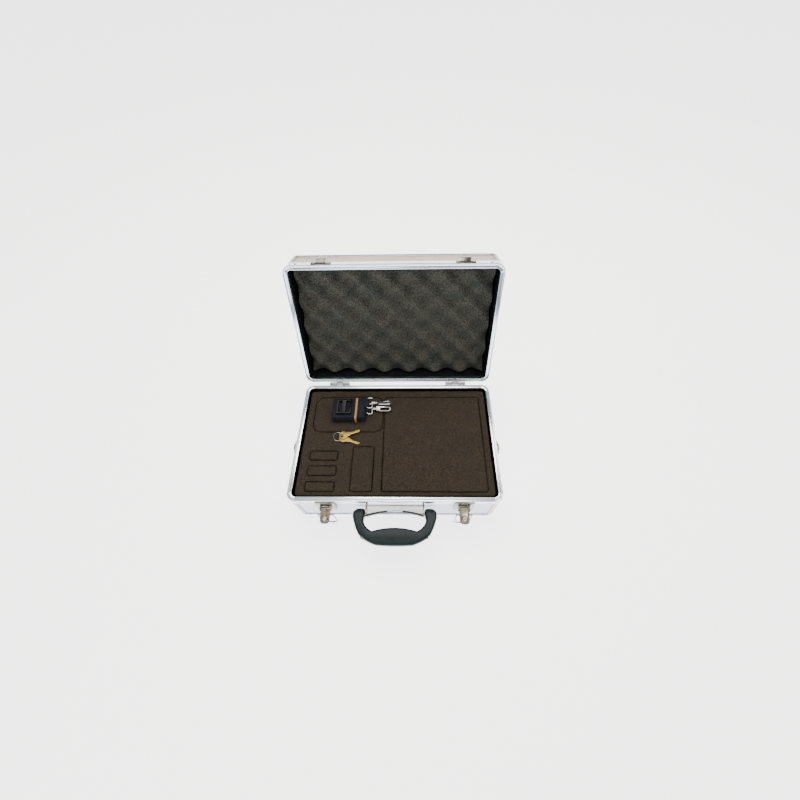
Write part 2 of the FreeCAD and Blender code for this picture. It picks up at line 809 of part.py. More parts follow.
plate_parts = [
    box(
        "handle_plate_sheet", (-plate_half, plate_half), (panel_face - handle_sheet, panel_face),
        (pivot_z - 38, pivot_z + 9),
    ),
]
for i, low in enumerate((-plate_half, plate_half - handle_ear)):
    span = (low, low + handle_ear)
    plate_parts.append(box(
        f"handle_ear_{i}", span, (pivot_y, panel_face - handle_sheet / 2), (pivot_z - 6, pivot_z + 6),
    ))
    plate_parts.append(cylinder(f"handle_ear_round_{i}", (low, pivot_y, pivot_z), "+x", handle_ear, 6))
handle_bore = cylinder(
    "handle_ear_bore", (-plate_half - 1, pivot_y, pivot_z), "+x", handle_plate_width + 2, handle_pin_radius,
)
keep("handle_plate", cut("handle_plate_bored", fuse("handle_plate_blank", *plate_parts), handle_bore))

handle_pin_length = size("handle_pin_length", 10)
handle_pin = cylinder(
    "handle_pin", (plate_half - handle_ear, pivot_y, pivot_z), "+x", handle_pin_length, handle_pin_radius,
)
keep("handle_pins", both_sides("handle_pin_pair", handle_pin))

# The arched bar between the ears, with a blank badge on its middle
bar_half = plate_half - handle_ear
bar_sheet = size("bar_sheet", 3)
bar_rise = size("bar_rise", 6.5)
bar_height = size("bar_height", 5)


def arch(half, end_y, middle_y):
    return Part.Arc(Vector(-half, end_y, 0), Vector(0, middle_y, 0), Vector(half, end_y, 0)).toShape()


def line(a, b):
    return Part.LineSegment(Vector(*a), Vector(*b)).toShape()


def arched_bar():
    half, thick, rise = bar_half.value, bar_sheet.value, bar_rise.value
    outer, inner = -thick, 0
    edges = [
        arch(half, outer, outer + rise), line((half, outer, 0), (half, inner, 0)),
        arch(half, inner, inner + rise), line((-half, inner, 0), (-half, outer, 0)),
    ]
    face = Part.Face(Part.Wire(Part.__sortEdges__(edges)))
    return face.extrude(Vector(0, 0, bar_height.value))


bar = feature("handle_bar_shape", arched_bar())
bar_y = pivot_y - 3
keep("handle_bar", bar, Placement(Vector(0, bar_y.value, (pivot_z - 1).value), Rotation()))
badge_half = size("badge_half", 12)
bar_top = pivot_z - 1 + bar_height
badge_back = bar_y + bar_rise - 0.6
badge = box("badge_block", (-badge_half, badge_half), (badge_back - 2, badge_back), (bar_top, bar_top + 0.6))
keep("handle_badge", badge)


def handle_shape():
    """A closed grip seen from above: two arms with in-turned ends, and a grip that swells in the middle."""
    half = handle_length.value / 2
    reach = handle_reach.value
    inner = plate_half.value + handle_side_gap.value
    back = 6.0
    arm = 15.5
    tip = half - 18
    outside = [
        (inner, back), (half - 8, back), (half + 1, -2), (half - 1, -14),
        (half - 7, -28), (tip, -reach + 2.5),
    ]
    nose = (0, -reach - 0.5)
    inside = [
        (half - arm - 14, -27.5), (half - arm - 8, -24), (half - arm - 0.5, -10), (inner, -6),
    ]
    middle = (0, -22.5)
    edges = []
    for side in (1, -1):
        out = [Vector(side * x, y, 0) for x, y in outside]
        edges.append(Part.LineSegment(out[0], out[1]).toShape())
        curve = Part.BSplineCurve()
        curve.interpolate(out[1:])
        edges.append(curve.toShape())
        into = [Vector(side * x, y, 0) for x, y in inside]
        curve = Part.BSplineCurve()
        curve.interpolate(into)
        edges.append(curve.toShape())
        edges.append(Part.LineSegment(into[-1], out[0]).toShape())
    edges.append(Part.Arc(
        Vector(outside[-1][0], outside[-1][1], 0), Vector(*nose, 0),
        Vector(-outside[-1][0], outside[-1][1], 0),
    ).toShape())
    edges.append(Part.Arc(
        Vector(inside[0][0], inside[0][1], 0), Vector(*middle, 0), Vector(-inside[0][0], inside[0][1], 0)
    ).toShape())
    face = Part.Face(Part.Wire(Part.__sortEdges__(edges)))
    thick = handle_thickness.value
    grip = face.extrude(Vector(0, 0, thick))
    grip.translate(Vector(0, 0, -thick / 2))
    bore_depth = handle_pin_length.value - handle_ear.value - handle_side_gap.value + 0.4
    for side in (1, -1):
        bore = Part.makeCylinder(
            handle_pin_radius.value + running_fit.value, bore_depth,
            Vector(side * inner, 0, 0), Vector(side, 0, 0),
        )
        grip = grip.cut(bore)
    return grip


handle = feature("handle_grip", handle_shape())
keep("handle", handle, Placement(Vector(0, pivot_y.value, pivot_z.value), Rotation()))


# ---------------------------------------------------------------- strap rings on the sides
ring_y = size("ring_y", -12)
ring_z_drop = size("ring_z_drop", 10.5)
ring_z = base_height - ring_z_drop
ring_x = half_width + leaf_thickness + 2.4
bridge = fuse(
    "bridge_blank",
    box(
        "bridge_plate", (half_width, half_width + leaf_thickness), (ring_y - 8, ring_y + 8),
        (ring_z - 5.5, ring_z + 7),
    ),
    box("bridge_block", (half_width, ring_x), (ring_y - 5, ring_y + 5), (ring_z - 2.6, ring_z + 2.6)),
    cylinder("bridge_round", (ring_x, ring_y - 5, ring_z), "+y", dim(10), 2.6),
)
bridge_bore = cylinder("bridge_bore", (ring_x, ring_y - 6, ring_z), "+y", dim(12), ring_wire + running_fit)
keep("ring_brackets", both_sides("ring_bracket_pair", cut("bridge", bridge, bridge_bore)))

half = ring_width / 2
ring_corners = [
    (0, -half, 0), (0, half, 0), (0, half, -ring_drop * 0.45),
    (0, half * 0.45, -ring_drop), (0, -half * 0.45, -ring_drop),
    (0, -half, -ring_drop * 0.45),
]
for side, sign in (("left", -1), ("right", 1)):
    ring = bent_wire(
        f"strap_ring_{side}_wire", ring_corners, [1.6, 1.6, 3.5, 4, 4, 3.5], ring_wire, closed=True,
    )
    ring_place = Vector(sign * ring_x.value, ring_y.value, ring_z.value)
    keep(f"strap_ring_{side}", ring, Placement(ring_place, Rotation()))


# ---------------------------------------------------------------- shoulder strap, rolled up on the foam
strap_left = size("strap_left", -112)
strap_right = size("strap_right", -52)
strap_front = size("strap_front", 31)
strap_back = size("strap_back", 72)
strap_low = foam_top + band_thickness + play
strap_high = strap_low + strap_bundle_height
bundle = rounded_block(
    "bundle_block", (strap_left, strap_right), (strap_front, strap_back), (strap_low, strap_high), 8,
)
keep("strap_bundle", bundle)
band_x = (strap_right - 20, strap_right - 14)
g = play / 2
band_in = box(
    "band_inside", (band_x[0] - 1, band_x[1] + 1), (strap_front - g, strap_back + g),
    (strap_low - g, strap_high + g),
)
g = play / 2 + band_thickness
band_out = box("band_outside", band_x, (strap_front - g, strap_back + g), (strap_low - g, strap_high + g))
keep("strap_band", cut("band_loop", band_out, band_in))
slider = rounded_block(
    "slider_block", (dim(-103), dim(-77)), (dim(39), dim(67)), (strap_high + play / 2, strap_high + 4.6), 2,
)
slider_slots = [
    box(f"slider_slot_{i}", (dim(low), dim(low + 6)), (dim(42), dim(64)), (strap_high - 1, strap_high + 6))
    for i, low in enumerate((-99.5, -86.5))
]
keep("strap_slider", cut("slider_cut", slider, *slider_slots))

# Two swivel snap hooks: an eye on the strap, a hook that spins in it, and a sprung gate
hook_places = {
    1: (55, foam_top.value + 5.6, 12),
    2: (63.5, foam_top.value + 11.5, -16),
}
eyes = []
for n, (y, z, roll) in hook_places.items():
    eye_corners = [(-8.5, -10, 0), (0, -10, 0), (0, 10, 0), (-8.5, 10, 0)]
    eye = bent_wire(f"hook_eye_{n}_loop", eye_corners, 2, dim(1.1), closed=True)
    barrel = cylinder(f"hook_eye_{n}_barrel", (-1, 0, 0), "+x", dim(6), 2.6)
    bore = cylinder(f"hook_eye_{n}_bore", (1.4, 0, 0), "+x", dim(6), 1.3)
    whole = cut(f"hook_eye_{n}_bored", fuse(f"hook_eye_{n}_blank", eye, barrel), bore)
    placed = group(f"hook_eye_{n}", [whole])
    at = Vector(strap_right.value + 9.8, y, z)
    placed.Placement = Placement(at, Rotation())
    eyes.append(placed)
    # the hook's own axis is +X, drawn in its XY plane and then rolled
    spin = Placement(at + Vector(5, 0, 0), Rotation(Vector(1, 0, 0), roll))
    bend = [(2, 0, 0), (4.2, 0, 0), (7, -3.5, 0), (26, -3.5, 0), (26, 3.5, 0), (16.5, 3.5, 0)]
    wire = bent_wire(f"hook_{n}_wire", bend, [0, 1.6, 1.6, 3.4, 3.4, 0], dim(1.3))
    stem = cylinder(f"hook_{n}_stem", (-3.4, 0, 0), "+x", dim(5), 1.25)
    collar = cylinder(f"hook_{n}_collar", (0.15, 0, 0), "+x", dim(2.6), 2.4)
    lug = box(f"hook_{n}_lug", (2, 8), (-2.6, 4.4), (-0.6, 0.6))
    lug_bore = cylinder(f"hook_{n}_lug_bore", (6.4, 3.2, -3), "+z", dim(6), 0.65)
    blank = fuse(f"hook_{n}_blank", wire, stem, collar, lug)
    keep(f"snap_hook_{n}", cut(f"hook_{n}_bored", blank, lug_bore), spin)
    gate = fuse(
        f"gate_{n}_blank",
        box(f"gate_{n}_cheek_low", (5.2, 9.6), (2.2, 4.4), (-1.5, -0.7)),
        box(f"gate_{n}_cheek_high", (5.2, 9.6), (2.2, 4.4), (0.7, 1.5)),
        box(f"gate_{n}_bar", (8.8, 15.9), (2.4, 4.4), (-1.5, 1.5)),
        cylinder(f"gate_{n}_pin", (6.4, 3.2, -1.5), "+z", dim(3), 0.6),
    )
    keep(f"hook_gate_{n}", gate, spin)
keep("hook_eyes", group("hook_eye_pair", eyes))


# ---------------------------------------------------------------- keys on their ring
key_ring_radius = size("key_ring_radius", 7)
key_ring_wire = size("key_ring_wire", 0.5)
key_hole = size("key_hole", 3.1)
ring_tilt = 30.0
ring_rise = key_ring_radius.value * math.sin(math.radians(ring_tilt))
ring_centre = Vector(-97, 2, foam_top.value + ring_rise + key_ring_wire.value + 0.15)
torus = doc.addObject("Part::Torus", "key_ring_torus")
bind(torus, "Radius1", key_ring_radius)
bind(torus, "Radius2", key_ring_wire)
# the ring leans to the front, so that it rises through both keys' holes on its right
keep("key_ring", torus, Placement(ring_centre, Rotation(Vector(1, 0, 0), ring_tilt)))


def key_shape():
    """A flat cylinder-lock key, its hole at the origin and its blade along +X."""
    thick = key_thickness.value
    bow = Part.makeCylinder(7.2, thick, Vector(3.2, 0, -thick / 2))
    shoulder = Part.makeBox(5, 8, thick, Vector(8.5, -4, -thick / 2))
    blade = Part.makeBox(19, 5, thick, Vector(12, -2.5, -thick / 2))
    key = bow.fuse([shoulder, blade]).removeSplitter()
    key = key.cut(Part.makeCylinder(key_hole.value, 10, Vector(0, 0, -5)))
    for i, depth in enumerate((1.2, 1.9, 0.8, 1.5)):
        notch = Part.makeBox(1.8, 5, 10, Vector(17.5 + 3.2 * i, 2.5 - depth, -5))
        key = key.cut(notch)
    tip = Part.makeBox(4, 4, 10, Vector(29.6, -5.2, -5))
    return key.cut(tip)


key_slope = 4.6
key_step = 0.75
for n, level, yaw in ((1, -1, -18.0), (2, 1, 21.0)):
    rise = level * key_step
    turn = math.asin(rise / ring_rise)
    through = Vector(
        key_ring_radius.value * math.cos(turn) - 0.3,
        key_ring_radius.value * math.sin(turn) * math.cos(math.radians(ring_tilt)), rise,
    )
    lean = Rotation(Vector(0, 1, 0), key_slope) * Rotation(Vector(0, 0, 1), yaw)
    keep(f"key_{n}", feature(f"key_{n}_shape", key_shape()), Placement(ring_centre + through, lean))


# ---------------------------------------------------------------- check and write
doc.recompute()
faults = [o.Label for o in doc.Objects if {"Invalid", "Error"} & set(o.State)]
if faults:
    raise RuntimeError(f"these objects didn't build: {faults}")
names = [node.Label for node in nodes]
if len(set(names)) != len(names):
    raise RuntimeError(f"a node's name is used twice: {sorted(names)}")
for node in nodes:
    if node.Shape.isNull() or not node.Shape.isValid() or not node.Shape.Solids:
        raise RuntimeError(f"{node.Label} has no valid solid")

os.makedirs("parts", exist_ok=True)
for node in nodes:
    node.Shape.exportStep(f"parts/{node.Label}.step")
    bounds = node.Shape.BoundBox
    print(
        f"{node.Label:24s} solids {len(node.Shape.Solids)} volume {node.Shape.Volume:10.1f} "
        f"x {bounds.XMin:7.1f} {bounds.XMax:7.1f} y {bounds.YMin:7.1f} {bounds.YMax:7.1f}"
        f" z {bounds.ZMin:6.1f} {bounds.ZMax:6.1f}"
    )
print(len(nodes), "nodes written")
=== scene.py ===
# %% [markdown]
# # Telescope carry case
# An aluminium-framed case standing open on a white table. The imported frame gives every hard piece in
# its place. This notebook gives each one its finish, and makes the soft and rounded pieces afresh:
# the foams, the rolled strap, the rivet heads, and the rails, corners and fittings whose edges need
# softening.
# Lengths are in metres, in the frame's own axes: +X right, +Y back, +Z up.

# %% Load the frame
import json
import math
import bmesh
import bpy
from mathutils import Matrix, Vector, noise

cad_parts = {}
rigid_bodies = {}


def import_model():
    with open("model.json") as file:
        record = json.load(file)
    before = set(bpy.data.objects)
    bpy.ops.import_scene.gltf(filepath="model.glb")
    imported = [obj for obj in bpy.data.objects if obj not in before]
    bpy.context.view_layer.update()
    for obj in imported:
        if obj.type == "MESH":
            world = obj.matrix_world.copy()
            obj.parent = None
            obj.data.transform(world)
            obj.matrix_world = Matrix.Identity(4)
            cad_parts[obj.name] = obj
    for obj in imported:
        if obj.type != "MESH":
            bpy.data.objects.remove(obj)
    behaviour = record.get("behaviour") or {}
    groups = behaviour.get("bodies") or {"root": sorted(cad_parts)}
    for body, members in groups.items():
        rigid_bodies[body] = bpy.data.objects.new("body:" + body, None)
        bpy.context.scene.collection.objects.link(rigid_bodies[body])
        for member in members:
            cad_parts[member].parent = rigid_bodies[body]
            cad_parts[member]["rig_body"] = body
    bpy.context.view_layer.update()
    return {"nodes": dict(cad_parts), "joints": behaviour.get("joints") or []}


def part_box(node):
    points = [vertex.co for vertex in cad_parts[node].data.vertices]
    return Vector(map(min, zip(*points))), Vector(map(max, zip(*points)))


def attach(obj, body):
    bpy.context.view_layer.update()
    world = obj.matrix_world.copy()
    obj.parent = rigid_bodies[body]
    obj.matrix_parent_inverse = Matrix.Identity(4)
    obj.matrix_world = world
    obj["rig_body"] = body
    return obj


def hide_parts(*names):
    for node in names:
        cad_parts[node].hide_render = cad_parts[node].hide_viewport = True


MM = 0.001
WELD = 0.5e-6
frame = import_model()
nodes = frame["nodes"]
joints = {joint["name"]: joint for joint in frame["joints"]}

# %% [markdown]
# ## Shutting the lid on paper
# Lid pieces are easiest to measure with the lid shut, square to the axes. `OPEN` carries a piece
# from there to where the frame holds it, and `SHUT` brings it back.

# %% Lid transforms
lid_hinge = joints["lid_hinge"]
hinge_at = Vector(lid_hinge["pos_m"])
swing = math.radians(lid_hinge["range_deg"][1])
to_hinge = Matrix.Translation(hinge_at)
SHUT = to_hinge @ Matrix.Rotation(swing, 4, "X") @ to_hinge.inverted()
OPEN = SHUT.inverted()


def reach(points):
    """The lowest and highest corner of some points."""
    low = Vector([min(p[i] for p in points) for i in range(3)])
    high = Vector([max(p[i] for p in points) for i in range(3)])
    return low, high


def shut_box(node):
    """A lid node's box with the lid shut."""
    return reach([SHUT @ v.co for v in nodes[node].data.vertices])


print("lid foam, shut:", [tuple(round(c, 4) for c in corner) for corner in shut_box("lid_foam")])

# %% [markdown]
# ## Shader helpers
# Every finish is a Principled shader with a few patterns read from object coordinates, so that a
# pattern sits still on its piece. Plain numbers go straight on the shader's sockets.


# %% Shader helpers
class Finish:
    """A material and short ways to add patterns to it."""

    def __init__(self, name, colour, roughness, metallic=0.0, **sockets):
        self.material = bpy.data.materials.new(name)
        self.material.use_nodes = True
        self.tree = self.material.node_tree
        self.shader = next(n for n in self.tree.nodes if n.type == "BSDF_PRINCIPLED")
        self.shader.inputs["Base Color"].default_value = (*colour, 1)
        self.shader.inputs["Roughness"].default_value = roughness
        self.shader.inputs["Metallic"].default_value = metallic
        for socket, value in sockets.items():
            self.shader.inputs[socket.replace("_", " ")].default_value = value
        self.bumps = None
        self.where = self.node("ShaderNodeTexCoord").outputs["Object"]

    def node(self, kind, **settings):
        made = self.tree.nodes.new(kind)
        for key, value in settings.items():
            setattr(made, key, value)
        return made

    def join(self, out, into):
        self.tree.links.new(out, into)

    def noise(self, size, detail, roughness=0.55):
        """Cloudy noise whose blobs are about `size` metres across."""
        made = self.node("ShaderNodeTexNoise")
        made.inputs["Scale"].default_value = 1 / size
        made.inputs["Detail"].default_value = detail
        made.inputs["Roughness"].default_value = roughness
        self.join(self.where, made.inputs["Vector"])
        return made.outputs["Fac"]

    def cells(self, size):
        """Distance to the middle of the nearest cell, in cells about `size` metres across."""
        made = self.node("ShaderNodeTexVoronoi")
        made.inputs["Scale"].default_value = 1 / size
        self.join(self.where, made.inputs["Vector"])
        return made.outputs["Distance"]

    def ramp(self, value, *stops):
        """Colours or greys along a value."""
        made = self.node("ShaderNodeValToRGB")
        elements = made.color_ramp.elements
        while len(elements) < len(stops):
            elements.new(0.5)
        for element, (at, colour) in zip(elements, stops):
            element.position = at
            element.color = (*colour, 1) if isinstance(colour, tuple) else (colour, colour, colour, 1)
        self.join(value, made.inputs["Fac"])
        return made.outputs["Color"]

    def mix(self, factor, first, second):
        made = self.node("ShaderNodeMix", data_type="RGBA")
        colours = [s for s in made.inputs if s.type == "RGBA"]
        self.join(factor, made.inputs[0])
        for socket, value in zip(colours, (first, second)):
            if isinstance(value, tuple):
                socket.default_value = (*value, 1)
            else:
                self.join(value, socket)
        return next(s for s in made.outputs if s.type == "RGBA")

    def sum(self, first, second, operation="ADD"):
        made = self.node("ShaderNodeMath", operation=operation)
        for socket, value in zip(made.inputs, (first, second)):
            if isinstance(value, (int, float)):
                socket.default_value = value
            else:
                self.join(value, socket)
        return made.outputs["Value"]

    def colour(self, out):
        self.join(out, self.shader.inputs["Base Color"])
        return self

    def roughness(self, value, low, high):
        made = self.node("ShaderNodeMapRange")
        made.inputs["To Min"].default_value = low
        made.inputs["To Max"].default_value = high
        self.join(value, made.inputs["Value"])
        self.join(made.outputs["Result"], self.shader.inputs["Roughness"])
        return self

    def bump(self, height, depth, strength=1.0):
        """Adds a relief `depth` metres deep."""
        made = self.node("ShaderNodeBump")
        made.inputs["Distance"].default_value = depth
        made.inputs["Strength"].default_value = strength
        self.join(height, made.inputs["Height"])
        if self.bumps is not None:
            self.join(self.bumps, made.inputs["Normal"])
        self.bumps = made.outputs["Normal"]
        self.join(self.bumps, self.shader.inputs["Normal"])
        return self


def uv_of(finish):
    """Patterns from here on follow the piece's own UV map, in metres along and across it."""
    finish.where = finish.node("ShaderNodeTexCoord").outputs["UV"]
    return finish


# %% [markdown]
# ## Finishes
# Satin aluminium for the extrusions, with fine drawn grain and faint handling marks. Silver laminate
# on the boards; the lid's copy is tinted warmer, a painted warm reflection of the light overhead.
# Bright plating on the fittings. Open-cell foam, woven webbing, moulded plastic.


# %% Metal finishes
def drawn_aluminium(name, colour, low, high):
    finish = Finish(name, colour, 0.3, 1.0, Anisotropic=0.2)
    fine = finish.noise(0.35 * MM, 3)
    broad = finish.noise(28 * MM, 5)
    tone = finish.ramp(broad, (0.3, tuple(c * 0.93 for c in colour)), (0.7, colour))
    finish.colour(tone)
    finish.roughness(finish.sum(fine, finish.sum(broad, 0.6, "MULTIPLY"), "MULTIPLY"), low, high)
    finish.bump(fine, 0.012 * MM, 0.35)
    return finish.material


def bright_plate(name, colour, roughness, shade=0.82):
    finish = Finish(name, colour, roughness, 1.0)
    smear = finish.noise(6 * MM, 6)
    fine = finish.noise(0.5 * MM, 3)
    finish.colour(finish.ramp(smear, (0.32, tuple(c * shade for c in colour)), (0.66, colour)))
    finish.roughness(smear, roughness * 0.6, roughness * 1.9)
    finish.bump(fine, 0.01 * MM, 0.4)
    return finish.material


aluminium = drawn_aluminium("Drawn aluminium", (0.80, 0.87, 0.95), 0.16, 0.44)
corner_metal = drawn_aluminium("Bent aluminium corner", (0.66, 0.70, 0.74), 0.14, 0.40)
post_metal = drawn_aluminium("Aluminium corner post", (0.42, 0.38, 0.35), 0.26, 0.5)
rivet_metal = bright_plate("Rivet head", (0.60, 0.61, 0.63), 0.24)
plating = bright_plate("Nickel plating", (0.33, 0.32, 0.26), 0.15, 0.55)
wire_plating = bright_plate("Plated wire", (0.46, 0.46, 0.45), 0.09, 0.45)
pin_steel = bright_plate("Pin steel", (0.52, 0.52, 0.53), 0.30)
leaf_steel = bright_plate("Hinge leaf", (0.36, 0.37, 0.33), 0.24)
lock_metal = bright_plate("Lock plug", (0.70, 0.62, 0.42), 0.26)
key_brass = bright_plate("Key brass", (0.24, 0.17, 0.045), 0.32, 0.6)
print("metals ready")


# %% Board, lining and plastic finishes
def laminate(name, colour):
    """Silver-grey laminate with a very fine pebble."""
    finish = Finish(name, colour, 0.38, 0.45, Coat_Weight=0.25, Coat_Roughness=0.3)
    broad = finish.noise(60 * MM, 3)
    pebble = finish.noise(0.9 * MM, 3)
    finish.colour(finish.ramp(broad, (0.25, tuple(c * 0.95 for c in colour)), (0.75, colour)))
    finish.roughness(pebble, 0.3, 0.5)
    finish.bump(pebble, 0.03 * MM, 0.35)
    return finish.material


def felt(name, colour):
    finish = Finish(name, colour, 0.95, Specular_IOR_Level=0.1)
    fibre = finish.noise(0.45 * MM, 5)
    cloud = finish.noise(14 * MM, 4)
    tone = finish.ramp(cloud, (0.3, tuple(c * 0.6 for c in colour)), (0.7, tuple(c * 1.35 for c in colour)))
    finish.colour(tone)
    finish.bump(fibre, 0.15 * MM, 0.6)
    return finish.material


def moulded(name, colour, low, high, grain=0.55 * MM):
    """Moulded plastic with a leathery grain and slight shine on its high spots."""
    finish = Finish(name, colour, 0.45, Specular_IOR_Level=0.12)
    pores = finish.noise(grain, 2)
    cloud = finish.noise(18 * MM, 4)
    tone = finish.ramp(cloud, (0.3, tuple(c * 0.75 for c in colour)), (0.7, tuple(c * 1.2 for c in colour)))
    finish.colour(tone)
    finish.roughness(cloud, low, high)
    finish.bump(pores, 0.05 * MM, 0.4)
    return finish.material


board = laminate("Silver laminate", (0.66, 0.66, 0.82))
# the lid's boards are the same laminate tinted warm: a painted warm reflection of the light overhead
lid_board_painted_warm = laminate("Silver laminate with painted warm light", (0.80, 0.66, 0.55))
# black felt, set darker than felt is to stand for the shade in the gaps round the foam: partly real colour,
# partly painted shade
lining = felt("Black lining", (0.004, 0.005, 0.007))
handle_plastic = moulded("Handle moulding", (0.007, 0.014, 0.016), 0.22, 0.36)
bar_plastic = moulded("Bar moulding", (0.010, 0.013, 0.017), 0.12, 0.22, 1.5 * MM)
slider_plastic = moulded("Slider moulding", (0.0015, 0.002, 0.0025), 0.16, 0.28)
# a blank badge plate whose light blue colour is a painted highlight, the light's reflection on the bar
badge_painted_highlight = bright_plate("Blank badge with painted highlight", (0.55, 0.72, 0.93), 0.2)
print("boards and plastics ready")


# %% Foam, webbing and elastic finishes
def foam(name, dark, light, speck, grain):
    """Open-cell foam: pits and cell walls `grain` across, under a mottled tone; the pits are darkened in
    colour, painted shade.
    """
    finish = Finish(name, light, 0.95, Specular_IOR_Level=0.15)
    pits = finish.cells(grain * 1.4)
    small = finish.noise(grain, 4, roughness=0.7)
    cloud = finish.noise(22 * MM, 4)
    body = finish.ramp(small, (0.42, dark), (0.57, light))
    tinted = finish.mix(finish.ramp(cloud, (0.35, 0.0), (0.75, 0.45)), body, speck)
    # the colour is darkened in the pits: painted shade
    shade = finish.ramp(pits, (0.05, 0.55), (0.6, 1.0))
    multiply = finish.node("ShaderNodeMix", data_type="RGBA", blend_type="MULTIPLY")
    multiply.inputs[0].default_value = 1.0
    colours = [s for s in multiply.inputs if s.type == "RGBA"]
    finish.join(tinted, colours[0])
    finish.join(shade, colours[1])
    finish.colour(next(s for s in multiply.outputs if s.type == "RGBA"))
    finish.bump(pits, 0.5 * MM, 0.7)
    finish.bump(small, 0.3 * MM, 0.6)
    return finish.material


def woven(name, warp, weft, thread=0.9 * MM):
    """Webbing: ribs along the strap crossed by fine weft, from the strap's own UV map in metres."""
    finish = uv_of(Finish(name, warp, 0.75, Specular_IOR_Level=0.25))
    split = finish.node("ShaderNodeSeparateXYZ")
    finish.join(finish.where, split.inputs["Vector"])
    along, across = split.outputs["X"], split.outputs["Y"]
    ribs = finish.sum(finish.sum(across, 2 * math.pi / (2 * thread), "MULTIPLY"), 0, "SINE")
    picks = finish.sum(finish.sum(along, 2 * math.pi / thread, "MULTIPLY"), 0, "SINE")
    weave = finish.sum(finish.sum(ribs, picks, "MULTIPLY"), 0.5, "MULTIPLY_ADD")
    fuzz = finish.noise(0.4 * MM, 3)
    finish.colour(finish.mix(finish.ramp(weave, (0.2, 0.0), (0.8, 1.0)), warp, weft))
    finish.bump(weave, 0.25 * MM, 0.6)
    finish.bump(fuzz, 0.1 * MM, 0.5)
    return finish.material


def elastic(name, colour):
    finish = uv_of(Finish(name, colour, 0.6, Sheen_Weight=0.15))
    split = finish.node("ShaderNodeSeparateXYZ")
    finish.join(finish.where, split.inputs["Vector"])
    cords = finish.sum(finish.sum(split.outputs["Y"], 2 * math.pi / (1.1 * MM), "MULTIPLY"), 0, "SINE")
    # the grooves between the cords are darkened in colour: painted shade
    finish.colour(finish.ramp(cords, (0.1, tuple(c * 0.55 for c in colour)), (0.7, colour)))
    finish.bump(cords, 0.2 * MM, 0.5)
    return finish.material


base_foam = foam("Base foam", (0.008, 0.006, 0.004), (0.052, 0.041, 0.028), (0.022, 0.020, 0.018), 1.1 * MM)
lid_foam = foam("Lid foam", (0.008, 0.010, 0.009), (0.094, 0.090, 0.070), (0.024, 0.036, 0.036), 1.3 * MM)
webbing = woven("Navy webbing", (0.0012, 0.0018, 0.0045), (0.005, 0.007, 0.016))
tan_elastic = elastic("Tan elastic", (0.40, 0.22, 0.05))
print("soft finishes ready")

# %% [markdown]
# ## Hard pieces as they come
# Corner posts, boards, linings, pins, wires and the handle's bar keep the frame's own shape and get
# their finish.

# %% Finish the hard pieces
CARRIED = {
    post_metal: ("base_corner_posts", "lid_corner_posts"),
    board: ("base_front_panel", "base_back_panel", "base_side_panels", "base_bottom_panel"),
    lid_board_painted_warm: ("lid_front_panel", "lid_back_panel", "lid_side_panels", "lid_top_panel"),
    lining: ("base_lining", "lid_lining"),
    pin_steel: ("handle_pins", "latch_pins", "hinge_pins"),
    wire_plating: (
        "latch_bail_left", "latch_bail_right", "strap_ring_left", "strap_ring_right", "hook_eyes",
        "snap_hook_1", "snap_hook_2", "hook_gate_1", "hook_gate_2", "key_ring",
    ),
    bar_plastic: ("handle_bar",),
}
for material, names in CARRIED.items():
    for name in names:
        slots = nodes[name].data.materials
        slots.clear()
        slots.append(material)
print(sum(len(names) for names in CARRIED.values()), "nodes finished as they come")

# %% [markdown]
# ## Making new pieces
# `settle` turns a worked object into a plain mesh at the origin. `softened` copies a rail, a corner or
# a fitting and rolls its sharp edges, which a press, a die or a casting never leaves square.


# %% Piece helpers
def new_object(name, mesh):
    made = bpy.data.objects.new(name.replace(" ", "_"), mesh)
    bpy.context.scene.collection.objects.link(made)
    return made


def settle(worked, name):
    """The evaluated shape of an object as a plain mesh object."""
    bpy.context.view_layer.update()
    graph = bpy.context.evaluated_depsgraph_get()
    mesh = bpy.data.meshes.new_from_object(worked.evaluated_get(graph))
    made = new_object(name, mesh)
    bpy.data.objects.remove(worked)
    return made


def give(piece, material, body, slot, *replaced):
    """Finish, body and the nodes that a piece stands for. The slot is not used."""
    piece.data.materials.clear()
    piece.data.materials.append(material)
    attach(piece, body)
    if replaced:
        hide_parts(*replaced)
    return piece


def merged_copy(node, name):
    """A copy of a node with its points welded and its flat faces joined up."""
    mesh = nodes[node].data.copy()
    work = bmesh.new()
    work.from_mesh(mesh)
    bmesh.ops.remove_doubles(work, verts=work.verts, dist=WELD)
    bmesh.ops.dissolve_limit(
        work, angle_limit=math.radians(0.5), verts=work.verts, edges=work.edges,
    )
    work.to_mesh(mesh)
    work.free()
    return new_object(name, mesh)


def shade(piece, angle=35):
    """Smooth shading that keeps edges sharper than the angle."""
    for polygon in piece.data.polygons:
        polygon.use_smooth = True
    work = bmesh.new()
    work.from_mesh(piece.data)
    for edge in work.edges:
        sharp = len(edge.link_faces) == 2 and edge.calc_face_angle(0) > math.radians(angle)
        edge.smooth = not sharp
    work.to_mesh(piece.data)
    work.free()
    return piece


def softened(node, name, width):
    """A copy of a node with its sharp edges rolled to this width."""
    rough = merged_copy(node, name + " work")
    bevel = rough.modifiers.new("Rolled edges", "BEVEL")
    bevel.width = width
    bevel.segments = 2
    bevel.limit_method = "ANGLE"
    bevel.angle_limit = math.radians(40)
    bevel.use_clamp_overlap = True
    return shade(settle(rough, name), 50)


